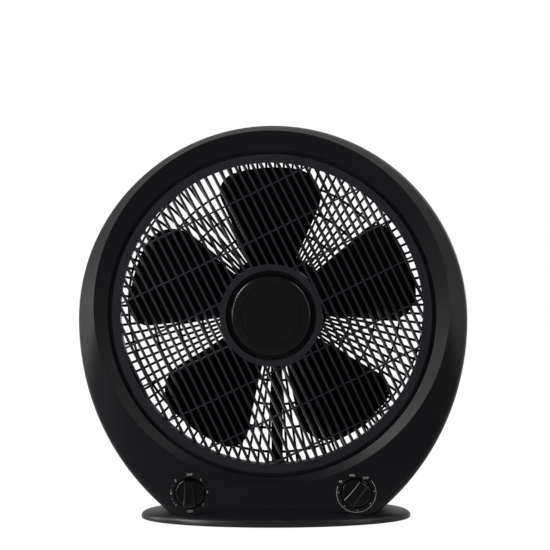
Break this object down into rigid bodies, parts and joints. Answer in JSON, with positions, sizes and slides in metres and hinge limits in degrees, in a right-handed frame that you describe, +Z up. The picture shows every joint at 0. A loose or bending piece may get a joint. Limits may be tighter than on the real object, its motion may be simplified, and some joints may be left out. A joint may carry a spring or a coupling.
{
  "type": "box fan",
  "caption": "Table fan with a round-shouldered housing, a slowly turning louvre wheel over the impeller, a rear guard, an oval base, a speed dial and a timer dial.",
  "frame": {"origin": "under the middle of the base, on the surface the feet stand on", "axes": "+Z up, the louvre wheel faces -Y, +X to the right seen from the front"},
  "size_m": [0.3988, 0.144, 0.4093],
  "materials": {
    "shell_plastic": "moulded gloss",
    "guard_plastic": "moulded satin",
    "blade_plastic": "moulded gloss",
    "louvre_plastic": "moulded satin",
    "cap_plastic": "polished",
    "knob_plastic": "polished",
    "gear_plastic": "moulded",
    "control_plastic": "moulded",
    "terminal_plastic": "moulded",
    "bracket_alloy": "die cast",
    "lamination_steel": "varnished",
    "winding_copper": "enamelled wire",
    "bush_bronze": "sintered",
    "shaft_steel": "ground",
    "plated_steel": "zinc plated",
    "screw_steel": "zinc plated",
    "foot_rubber": "moulded matte",
    "grommet_rubber": "moulded matte",
    "lead_sleeve": "woven sleeve"
  },
  "bodies": {
    "housing": {"front_shell": "shell_plastic", "rear_shell": "shell_plastic", "shell_screws": "screw_steel", "rear_guard": "guard_plastic", "guard_screws": "screw_steel", "cable_channel": "guard_plastic", "motor_leads": "lead_sleeve", "motor_front_bracket": "bracket_alloy", "motor_rear_bracket": "bracket_alloy", "front_bush": "bush_bronze", "rear_bush": "bush_bronze", "stator_core": "lamination_steel", "stator_windings": "winding_copper", "motor_bolts": "screw_steel", "louvre_motor": "plated_steel", "louvre_motor_screws": "screw_steel", "rim_clips": "guard_plastic", "rim_clip_screws": "screw_steel", "speed_switch": "control_plastic", "switch_nut": "plated_steel", "timer_unit": "control_plastic", "timer_nut": "plated_steel", "run_capacitor": "control_plastic", "capacitor_clip": "plated_steel", "terminal_block": "terminal_plastic", "control_harness": "lead_sleeve", "cord_grommet": "grommet_rubber", "base_shell": "shell_plastic", "base_cover": "shell_plastic", "rubber_feet": "foot_rubber", "base_screws": "screw_steel", "cover_screws": "screw_steel"},
    "impeller": {"fan_blade": "blade_plastic", "motor_shaft": "shaft_steel", "rotor_core": "lamination_steel", "blade_nut": "blade_plastic", "drive_pin": "shaft_steel"},
    "louvre": {"louvre_wheel": "louvre_plastic", "hub_cap": "cap_plastic", "louvre_ring_gear": "gear_plastic"},
    "pinion": {"drive_pinion": "gear_plastic"},
    "speed_control": {"speed_knob": "knob_plastic", "speed_shaft": "shaft_steel"},
    "timer_control": {"timer_knob": "knob_plastic", "timer_shaft": "shaft_steel"}
  },
  "joints": [
    {"name": "impeller_spin", "type": "hinge", "parent": "housing", "child": "impeller", "pos_m": [0, 0, 0.219], "axis": [0, 1, 0], "continuous": true},
    {"name": "louvre_spin", "type": "hinge", "parent": "housing", "child": "louvre", "pos_m": [0, -0.036, 0.219], "axis": [0, 1, 0], "continuous": true},
    {"name": "pinion_spin", "type": "hinge", "parent": "housing", "child": "pinion", "pos_m": [0.11914, -0.03, 0.07701], "axis": [0, 1, 0], "continuous": true},
    {"name": "speed_dial", "type": "hinge", "parent": "housing", "child": "speed_control", "pos_m": [-0.0854, -0.048, 0.035], "axis": [0, 1, 0], "continuous": true},
    {"name": "timer_dial", "type": "hinge", "parent": "housing", "child": "timer_control", "pos_m": [0.0854, -0.048, 0.035], "axis": [0, 1, 0], "range_deg": [-45, 270]}
  ],
  "couplings": [
    {"joint": "pinion_spin", "follows": "louvre_spin", "ratio": -11.333}
  ]
}
